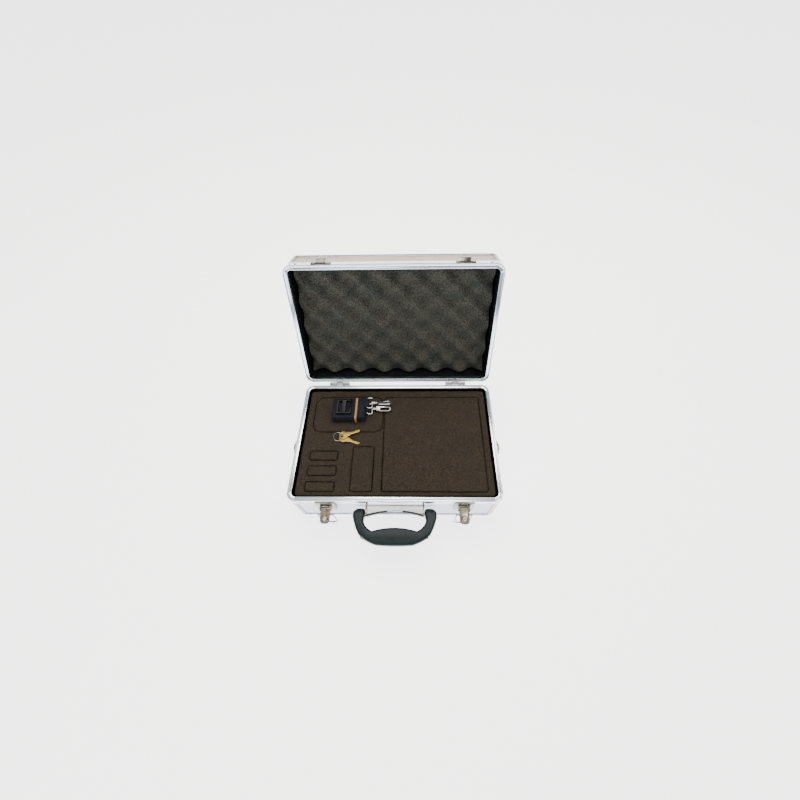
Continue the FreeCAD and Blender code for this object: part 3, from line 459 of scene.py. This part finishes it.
# %% Rails, corners and fittings with rolled edges
# piece, node, body, slot, finish and the width of the roll in millimetres
SOFTENED = (
    ("Base rim rails", "base_rim_rails", "base", "rail_aluminium", aluminium, 0.45),
    ("Lid rim rails", "lid_rim_rails", "lid", "rail_aluminium", aluminium, 0.45),
    ("Base edge rails", "base_edge_rails", "base", "rail_aluminium", aluminium, 0.35),
    ("Lid edge rails", "lid_edge_rails", "lid", "rail_aluminium", aluminium, 0.35),
    ("Base rim corners", "base_rim_corners", "base", "corner_aluminium", corner_metal, 0.45),
    ("Lid rim corners", "lid_rim_corners", "lid", "corner_aluminium", corner_metal, 0.45),
    ("Base edge corners", "base_edge_corners", "base", "corner_aluminium", corner_metal, 0.35),
    ("Lid edge corners", "lid_edge_corners", "lid", "corner_aluminium", corner_metal, 0.35),
    ("Latch plate left", "latch_plate_left", "base", "bright_plate", plating, 0.35),
    ("Latch plate right", "latch_plate_right", "base", "bright_plate", plating, 0.35),
    ("Latch lever left", "latch_lever_left", "latch_lever_left", "bright_plate", plating, 0.5),
    ("Latch lever right", "latch_lever_right", "latch_lever_right", "bright_plate", plating, 0.5),
    ("Lock plug left", "lock_cylinder_left", "lock_cylinder_left", "lock_brass", lock_metal, 0.3),
    ("Lock plug right", "lock_cylinder_right", "lock_cylinder_right", "lock_brass", lock_metal, 0.3),
    ("Lid catches", "lid_catches", "lid", "bright_plate", plating, 0.35),
    ("Handle plate", "handle_plate", "base", "bright_plate", plating, 0.4),
    ("Handle badge", "handle_badge", "base", "badge", badge_painted_highlight, 0.15),
    ("Hinge leaves base", "hinge_leaves_base", "base", "hinge_steel", leaf_steel, 0.3),
    ("Hinge leaves lid", "hinge_leaves_lid", "lid", "hinge_steel", leaf_steel, 0.3),
    ("Ring brackets", "ring_brackets", "base", "bright_plate", plating, 0.35),
    ("Strap slider", "strap_slider", "base", "slider_black", slider_plastic, 0.8),
    ("Key one", "key_1", "key_1", "key_brass", key_brass, 0.2),
    ("Key two", "key_2", "key_2", "key_brass", key_brass, 0.2),
)
for name, node, body, slot, material, width in SOFTENED:
    piece = softened(node, name, width * MM)
    give(piece, material, body, slot, node)
print(len(SOFTENED), "rails, corners and fittings softened")

# %% Moulded handle
# the grip's two outer turns are eased first, and then its long outlines are rolled
GRIP_ROLL = 3.6 * MM
GRIP_TURN_X = 46 * MM
GRIP_TURN_Y = 3 * MM
GRIP_TURN_SPREAD = 13 * MM
EASE_ROUNDS = 12
EASE_SHARE = 0.6


def ease_turns(outlines, turns):
    """Draws the points of an outline near some places towards their neighbours, again and again."""
    beside = {}
    for edge in outlines:
        for vertex in edge.verts:
            beside.setdefault(vertex, []).append(edge.other_vert(vertex))
    corner = [
        v for v, others in beside.items()
        if len(others) == 2 and min((v.co.xy - turn).length for turn in turns) < GRIP_TURN_SPREAD
    ]
    for _ in range(EASE_ROUNDS):
        eased = [v.co.lerp((beside[v][0].co + beside[v][1].co) / 2, EASE_SHARE) for v in corner]
        for vertex, place in zip(corner, eased):
            vertex.co = place


def moulded_handle():
    """The grip with its long outlines rolled. The bores for its pins keep their size."""
    grip = merged_copy("handle", "Moulded handle")
    low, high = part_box("handle")
    middle_z, half_z = (low.z + high.z) / 2, (high.z - low.z) / 2
    work = bmesh.new()
    work.from_mesh(grip.data)
    outlines = [
        edge for edge in work.edges
        if all(abs(abs(v.co.z - middle_z) - half_z) < 1e-5 for v in edge.verts)
        and edge.calc_face_angle(0) > math.radians(50)
    ]
    ease_turns(outlines, [Vector((side * GRIP_TURN_X, low.y + GRIP_TURN_Y)) for side in (-1, 1)])
    bmesh.ops.bevel(
        work, geom=outlines, offset=GRIP_ROLL, offset_type="OFFSET", segments=6, profile=0.5,
        affect="EDGES", clamp_overlap=False,
    )
    work.to_mesh(grip.data)
    work.free()
    print("handle rounded along", len(outlines), "edges")
    return shade(grip, 40)


give(moulded_handle(), handle_plastic, "handle", "handle_black", "handle")

# %% [markdown]
# ## Base foam
# A thick charcoal foam with die-cut outlines. Each piece is skinned again with small voxels, its
# edges relax a little, and its surface gets the slight unevenness of sawn foam. A knife leaves the
# cuts narrow, so the pieces nearly touch.


# %% Foam pieces
def uneven(piece, depth, size, seed):
    """Moves the surface in and out by a smooth noise."""
    shift = Vector((seed * 3.1, seed * 1.7, seed * 2.3))
    # every normal is read before any point moves, since a moved point makes Blender find them all again
    normals = [vertex.normal.copy() for vertex in piece.data.vertices]
    places = [vertex.co.copy() for vertex in piece.data.vertices]
    moved = []
    for place, normal in zip(places, normals):
        moved.extend(place + normal * (depth * noise.noise(place / size + shift)))
    piece.data.vertices.foreach_set("co", moved)
    piece.data.update()


def foam_block(node, name, voxel, material, slot, seed):
    rough = merged_copy(node, name + " work")
    skin = rough.modifiers.new("Skin", "REMESH")
    skin.mode = "VOXEL"
    skin.voxel_size = voxel
    relax = rough.modifiers.new("Relax", "SMOOTH")
    relax.factor = 0.5
    relax.iterations = 2
    piece = settle(rough, name)
    uneven(piece, 0.35 * MM, 7 * MM, seed)
    uneven(piece, 0.5 * MM, 34 * MM, seed + 5)
    for polygon in piece.data.polygons:
        polygon.use_smooth = True
    give(piece, material, nodes[node]["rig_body"], slot, node)
    return piece


FOAMS = (
    ("base_foam_bed", "Foam bed", 4.0),
    ("base_foam_insert", "Foam insert", 1.7),
    ("foam_plug_telescope", "Telescope block", 1.6),
    ("foam_plug_accessory", "Accessory block", 1.6),
    ("foam_plugs_small", "Small blocks", 1.6),
)
for seed, (node, name, voxel) in enumerate(FOAMS):
    piece = foam_block(node, name, voxel * MM, base_foam, "foam_base", seed)
    print(name, len(piece.data.polygons), "faces")

# %% [markdown]
# ## Lid foam
# Convoluted foam: its face is a product of two cosines, which gives staggered pegs and pits, and a
# share of two sines leans them along one diagonal. The tree takes a fine block and sinks its upper
# points by that rule, least at the bottom and most at the face, so the edges show the same wave.


# %% Geometry Nodes helpers
class Tree:
    """A geometry node tree with named inputs."""

    def __init__(self, name, **inputs):
        self.group = bpy.data.node_groups.new(name, "GeometryNodeTree")
        face = self.group.interface
        self.ids = {}
        for label, kind in inputs.items():
            socket = face.new_socket(name=label, in_out="INPUT", socket_type="NodeSocket" + kind)
            self.ids[label] = socket.identifier
        face.new_socket(name="Geometry", in_out="OUTPUT", socket_type="NodeSocketGeometry")
        self.inlet = self.group.nodes.new("NodeGroupInput")
        self.outlet = self.group.nodes.new("NodeGroupOutput")

    def node(self, kind, links=None, **settings):
        made = self.group.nodes.new(kind)
        for key, value in settings.items():
            setattr(made, key, value)
        for socket, value in (links or {}).items():
            if isinstance(value, bpy.types.NodeSocket):
                self.group.links.new(value, made.inputs[socket])
            else:
                made.inputs[socket].default_value = value
        return made

    def math(self, operation, first, second=0.0):
        return self.node("ShaderNodeMath", {0: first, 1: second}, operation=operation).outputs[0]

    def get(self, label):
        return self.inlet.outputs[label]

    def end(self, geometry, material):
        real = self.node("GeometryNodeRealizeInstances", {"Geometry": geometry})
        painted = self.node("GeometryNodeSetMaterial", {"Geometry": real.outputs[0], "Material": material})
        self.group.links.new(painted.outputs[0], self.outlet.inputs[0])

    def run(self, name, mesh=None, **values):
        """Evaluates the tree with these inputs and gives the result as a plain object."""
        carrier = new_object(name + " work", mesh or bpy.data.meshes.new(name))
        modifier = carrier.modifiers.new(name, "NODES")
        modifier.node_group = self.group
        for label, value in values.items():
            modifier[self.ids[label]] = value
        return settle(carrier, name)


# %% Egg-crate foam
def egg_crate_tree():
    tree = Tree(
        "Egg-crate foam", Size="Vector", Pitch="Float", Wave="Float", Slant="Float", Phase="Vector",
        Columns="Int", Rows="Int",
    )
    block = tree.node("GeometryNodeMeshCube", {
        "Size": tree.get("Size"), "Vertices X": tree.get("Columns"),
        "Vertices Y": tree.get("Rows"), "Vertices Z": 6,
    })
    size = tree.node("ShaderNodeSeparateXYZ", {0: tree.get("Size")}).outputs
    phase = tree.node("ShaderNodeSeparateXYZ", {0: tree.get("Phase")}).outputs
    place = tree.node("ShaderNodeSeparateXYZ", {0: tree.node("GeometryNodeInputPosition").outputs[0]}).outputs
    turn = tree.math("DIVIDE", 2 * math.pi, tree.get("Pitch"))
    angles = [
        tree.math("MULTIPLY", tree.math("ADD", place[axis], phase[axis]), turn) for axis in ("X", "Y")
    ]
    pegs = tree.math("MULTIPLY", *(tree.math("COSINE", angle) for angle in angles))
    slant = tree.math("MULTIPLY", *(tree.math("SINE", angle) for angle in angles))
    relief = tree.math("SUBTRACT", pegs, tree.math("MULTIPLY", slant, tree.get("Slant")))
    sunk = tree.math("MULTIPLY", tree.math("SUBTRACT", relief, 1.0), 0.5)
    depth = tree.math("MULTIPLY", sunk, tree.get("Wave"))
    share = tree.math("ADD", tree.math("DIVIDE", place["Z"], size["Z"]), 0.5)
    lift = tree.math("MULTIPLY", depth, share)
    offset = tree.node("ShaderNodeCombineXYZ", {"Z": lift})
    moved = tree.node("GeometryNodeSetPosition", {"Geometry": block.outputs[0], "Offset": offset.outputs[0]})
    smooth = tree.node("GeometryNodeSetShadeSmooth", {"Geometry": moved.outputs[0]})
    tree.end(smooth.outputs[0], lid_foam)
    return tree


low, high = shut_box("lid_foam")
span = high - low
crate = egg_crate_tree().run(
    "Lid foam", Size=tuple(span), Pitch=46 * MM, Wave=14 * MM, Slant=0.25, Phase=(24 * MM, 4 * MM, 0),
    Columns=240, Rows=150,
)
# the block is made face up, and the lid's foam faces down into the case when it is shut
face_down = Matrix.Translation((low + high) / 2) @ Matrix.Rotation(math.pi, 4, "X")
crate.data.transform(OPEN @ face_down)
uneven(crate, 0.4 * MM, 9 * MM, 11)
give(crate, lid_foam, "lid", "foam_lid", "lid_foam")
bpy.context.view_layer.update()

# %% [markdown]
# ## Rolled shoulder strap
# The strap lies folded to and fro in seven layers, with round turns at both ends. Its webbing is a
# flat band 1.5 mm thick, swept along that path with its own UV map, so that the weave follows it.


# %% Strap helpers
def sweep(name, path, normals, sides, width, thick, closed=False):
    """A flat band along a path. `sides` is the direction of its width at every point."""
    half, t = width / 2, thick / 2
    soft = min(t * 0.9, 0.6 * MM)
    section = [
        (-half, -t + soft), (-half + soft, -t), (0, -t), (half - soft, -t), (half, -t + soft),
        (half, t - soft), (half - soft, t), (0, t), (-half + soft, t), (-half, t - soft),
    ]
    count, ring = len(path), len(section)
    points = []
    for p, n, s in zip(path, normals, sides):
        points += [p + s * u + n * v for u, v in section]
    faces = []
    for i in range(count if closed else count - 1):
        a, b = i * ring, (i + 1) % count * ring
        faces += [(a + j, a + (j + 1) % ring, b + (j + 1) % ring, b + j) for j in range(ring)]
    if not closed:
        faces.append(tuple(reversed(range(ring))))
        faces.append(tuple(range((count - 1) * ring, count * ring)))
    mesh = bpy.data.meshes.new(name)
    mesh.from_pydata(points, [], faces)
    along = [0.0]
    for i in range(1, count + 1):
        along.append(along[-1] + (path[i % count] - path[i - 1]).length)
    around = [0.0]
    for j in range(ring):
        a, b = section[j], section[(j + 1) % ring]
        around.append(around[-1] + math.hypot(b[0] - a[0], b[1] - a[1]))
    uv = mesh.uv_layers.new(name="Along")
    for polygon in mesh.polygons:
        for loop in polygon.loop_indices:
            vertex = mesh.loops[loop].vertex_index
            i, j = divmod(vertex, ring)
            wrap_i = count if closed and i == 0 and polygon.index >= (count - 1) * ring else i
            wrap_j = ring if j == 0 and polygon.index % ring == ring - 1 else j
            uv.data[loop].uv = (along[wrap_i], around[wrap_j])
    work = bmesh.new()
    work.from_mesh(mesh)
    bmesh.ops.recalc_face_normals(work, faces=work.faces)
    work.to_mesh(mesh)
    work.free()
    for polygon in mesh.polygons:
        polygon.use_smooth = True
    return new_object(name, mesh)


def frames(path, side):
    """Normals of a path in the plane square to `side`."""
    normals = []
    for i, p in enumerate(path):
        a, b = path[max(i - 1, 0)], path[min(i + 1, len(path) - 1)]
        normals.append(side.cross(b - a).normalized())
    return normals


# %% Strap bundle
STRAP_THICK = 1.5 * MM
LAYERS = 7
STEPS = 26
low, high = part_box("strap_bundle")
middle = (low + high) / 2
pitch = (high.z - low.z - STRAP_THICK) / (LAYERS - 1)
turn = pitch / 2
path = []
for layer in range(LAYERS):
    z = low.z + STRAP_THICK / 2 + layer * pitch
    # the layers end unevenly, by a fixed sum that looks like chance
    ends = [
        low.x + turn + STRAP_THICK + (layer * 37 % 11) * 0.25 * MM,
        high.x - turn - STRAP_THICK - (layer * 53 % 7) * 0.3 * MM,
    ]
    if layer % 2:
        ends.reverse()
    for k in range(STEPS + 1):
        x = ends[0] + (ends[1] - ends[0]) * k / STEPS
        path.append(Vector((x, middle.y, z)))
    if layer < LAYERS - 1:
        outward = 1 if layer % 2 == 0 else -1
        for k in range(1, 8):
            angle = math.pi * k / 8
            bulge = ends[1] + outward * turn * math.sin(angle)
            rise = z + turn - turn * math.cos(angle)
            path.append(Vector((bulge, middle.y, rise)))
side = Vector((0, 1, 0))
normals = frames(path, side)
travel = 0.0
swayed = []
for i, p in enumerate(path):
    if i:
        travel += (p - path[i - 1]).length
    sway = 0.9 * MM * math.sin(travel * 21) + 0.5 * MM * math.sin(travel * 47 + 1)
    swayed.append(p + side * sway)
bundle = sweep("Rolled strap", swayed, normals, [side] * len(path), high.y - low.y - 3 * MM, STRAP_THICK)
give(bundle, webbing, "base", "webbing", "strap_bundle")
print("strap", round(travel, 3), "m of webbing in the roll")

# %% Strap ends
# narrow webbing leaves the roll and turns round the back bar of each swivel eye
EYE_BAR_BACK = 13.5 * MM
TAIL_LENGTH = 11 * MM
TAIL_WIDTH = 16 * MM
TAIL_THICK = 1.1 * MM
TAIL_TURN = 1.1 * MM + 0.75 * MM
hook_names = [name for name in joints if name.startswith("hook_swivel")]
for number, name in enumerate(sorted(hook_names), 1):
    swivel = Vector(joints[name]["pos_m"])
    bar = Vector((swivel.x - EYE_BAR_BACK, swivel.y, swivel.z))
    path = [Vector((bar.x - TAIL_LENGTH * (1 - k / 6), bar.y, bar.z + TAIL_TURN)) for k in range(7)]
    angles = [math.pi * k / 10 for k in range(1, 10)]
    path += [bar + Vector((math.sin(a), 0, math.cos(a))) * TAIL_TURN for a in angles]
    path += [Vector((bar.x - TAIL_LENGTH * k / 6, bar.y, bar.z - TAIL_TURN)) for k in range(7)]
    sides = [side] * len(path)
    end = sweep(f"Strap end {number}", path, frames(path, side), sides, TAIL_WIDTH, TAIL_THICK)
    give(end, webbing, "base", "webbing")
print("strap ends made")

# %% Elastic band
low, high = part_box("strap_band")
thick = 0.9 * MM
corner = 3.2 * MM
y0, y1 = low.y + thick / 2, high.y - thick / 2
z0, z1 = low.z + thick / 2, high.z - thick / 2
centres = (
    (y1 - corner, z1 - corner, 0), (y0 + corner, z1 - corner, 90),
    (y0 + corner, z0 + corner, 180), (y1 - corner, z0 + corner, 270),
)
path, normals = [], []
for cy, cz, start in centres:
    for k in range(9):
        angle = math.radians(start + 90 * k / 8)
        out = Vector((0, math.cos(angle), math.sin(angle)))
        path.append(Vector(((low.x + high.x) / 2, cy, cz)) + out * corner)
        normals.append(out)
BAND_WIDTH = (high.x - low.x) * 0.6
band = sweep("Elastic band", path, normals, [Vector((1, 0, 0))] * len(path), BAND_WIDTH, thick, True)
give(band, tan_elastic, "base", "elastic_tan", "strap_band")
print("band made")

# %% [markdown]
# ## Rivet heads
# Domed heads are set by Geometry Nodes on points taken from the frame's own rivets, each facing
# out of its rail.


# %% Rivets
def islands(mesh):
    """The separate solids of a mesh, as lists of points."""
    work = bmesh.new()
    work.from_mesh(mesh)
    bmesh.ops.remove_doubles(work, verts=work.verts, dist=WELD)
    left, found = set(work.verts), []
    while left:
        stack, group = [left.pop()], []
        while stack:
            vertex = stack.pop()
            group.append(vertex.co.copy())
            for edge in vertex.link_edges:
                other = edge.other_vert(vertex)
                if other in left:
                    left.remove(other)
                    stack.append(other)
        found.append(group)
    work.free()
    return found


def rivet_tree():
    tree = Tree("Rivet heads", Geometry="Geometry", Radius="Float", Height="Float")
    ball = tree.node("GeometryNodeMeshUVSphere", {"Segments": 20, "Rings": 12, "Radius": tree.get("Radius")})
    squash = tree.node("ShaderNodeCombineXYZ", {"X": 1.0, "Y": 1.0, "Z": tree.get("Height")})
    dome = tree.node("GeometryNodeTransform", {"Geometry": ball.outputs[0], "Scale": squash.outputs[0]})
    smooth = tree.node("GeometryNodeSetShadeSmooth", {"Geometry": dome.outputs[0]})
    facing = tree.node("GeometryNodeInputNamedAttribute", {"Name": "facing"}, data_type="FLOAT_VECTOR")
    turn = tree.node("FunctionNodeAlignRotationToVector", {"Vector": facing.outputs[0]}, axis="Z")
    points = tree.node("GeometryNodeMeshToPoints", {"Mesh": tree.get("Geometry")})
    heads = tree.node("GeometryNodeInstanceOnPoints", {
        "Points": points.outputs[0], "Instance": smooth.outputs[0], "Rotation": turn.outputs[0],
    })
    tree.end(heads.outputs[0], rivet_metal)
    return tree


rivets = rivet_tree()
for half, out in (("base", Matrix.Identity(4)), ("lid", OPEN)):
    node = f"{half}_rivets"
    back = out.inverted()
    seats, facings = [], []
    for group in islands(nodes[node].data):
        low, high = reach([back @ p for p in group])
        size = high - low
        thin = min(range(2), key=lambda axis: size[axis])
        sign = 1 if (low + high)[thin] > 0 else -1
        seat = (low + high) / 2
        seat[thin] = low[thin] if sign > 0 else high[thin]
        facing = Vector((0, 0, 0))
        facing[thin] = sign
        seats.append(out @ seat)
        facings.append(out.to_3x3() @ facing)
    mesh = bpy.data.meshes.new(f"{half} rivet seats")
    mesh.from_pydata(seats, [], [])
    layer = mesh.attributes.new("facing", "FLOAT_VECTOR", "POINT")
    for item, facing in zip(layer.data, facings):
        item.vector = facing
    heads = rivets.run(f"Rivet heads {half}", mesh, Radius=2.1 * MM, Height=0.42)
    give(heads, rivet_metal, half, "rivet_aluminium", node)
    print(half, len(seats), "rivets")

# %% [markdown]
# ## Table, light and camera
# A white table that glows a little, in a room that is dim at the horizon and warm overhead. A large
# warm light hangs above and behind, and a weaker cool one stands in front.

# %% Table and light
floor_mesh = bpy.data.meshes.new("Table")
floor_mesh.from_pydata([(-6, -6, 0), (6, -6, 0), (6, 6, 0), (-6, 6, 0)], [], [(0, 1, 2, 3)])
floor = new_object("Table", floor_mesh)
floor.location.z = -0.0002
table_top = Finish("White table", (0.95, 0.95, 0.95), 0.6, Emission_Color=(1, 1, 1, 1), Emission_Strength=2.6)
floor.data.materials.append(table_top.material)

world = bpy.data.worlds.new("Studio")
bpy.context.scene.world = world
world.use_nodes = True
sky = world.node_tree
direction = sky.nodes.new("ShaderNodeTexCoord").outputs["Generated"]
height = sky.nodes.new("ShaderNodeSeparateXYZ")
fade = sky.nodes.new("ShaderNodeValToRGB")
SKY = (
    (0.0, (0.16, 0.17, 0.19)), (0.12, (0.21, 0.23, 0.26)), (0.42, (0.62, 0.67, 0.72)),
    (0.75, (0.95, 0.93, 0.90)), (1.0, (1.0, 0.86, 0.72)),
)
for _ in SKY[2:]:
    fade.color_ramp.elements.new(0.5)
for stop, (at, colour) in zip(fade.color_ramp.elements, SKY):
    stop.position = at
    stop.color = (*colour, 1)
sky.links.new(direction, height.inputs["Vector"])
sky.links.new(height.outputs["Z"], fade.inputs["Fac"])
sky.links.new(fade.outputs["Color"], sky.nodes["Background"].inputs["Color"])
sky.nodes["Background"].inputs["Strength"].default_value = 1.15


def area_light(name, at, target, size, power, colour):
    data = bpy.data.lights.new(name, "AREA")
    data.shape = "RECTANGLE"
    data.size, data.size_y = size
    data.energy = power
    data.color = colour
    lamp = bpy.data.objects.new(name, data)
    bpy.context.scene.collection.objects.link(lamp)
    lamp.location = at
    lamp.rotation_euler = (Vector(target) - Vector(at)).to_track_quat("-Z", "Y").to_euler()
    return lamp


area_light("Overhead", (0.1, 0.5, 1.6), (0, 0.05, 0.08), (1.6, 1.0), 34, (1.0, 0.93, 0.86))
area_light("Front", (-0.5, -1.3, 0.9), (0, 0, 0.08), (1.2, 0.8), 9, (0.92, 0.95, 1.0))
print("lights set")

# %% Camera
CAMERA_AT = Vector((29.94, -263.24, 623.38)) * MM
PITCH, YAW, ROLL = math.radians(57.26), math.radians(-2.208), math.radians(-1.988)
FOCAL = 0.44979
SENSOR = 36
camera_data = bpy.data.cameras.new("Camera")
camera_data.sensor_width = SENSOR
camera_data.lens = SENSOR * FOCAL
camera_data.shift_x, camera_data.shift_y = -0.0079, -0.0062
camera_data.clip_start = 0.01
camera = bpy.data.objects.new("Camera", camera_data)
bpy.context.scene.collection.objects.link(camera)
forward = Vector((math.sin(YAW) * math.cos(PITCH), math.cos(YAW) * math.cos(PITCH), -math.sin(PITCH)))
level = Vector((math.cos(YAW), -math.sin(YAW), 0))
upward = level.cross(forward)
right = level * math.cos(ROLL) + upward * math.sin(ROLL)
top = upward * math.cos(ROLL) - level * math.sin(ROLL)
turned = Matrix((right, top, -forward)).transposed().to_4x4()
camera.matrix_world = Matrix.Translation(CAMERA_AT) @ turned
bpy.context.scene.camera = camera
print("camera at", tuple(round(c, 3) for c in CAMERA_AT))
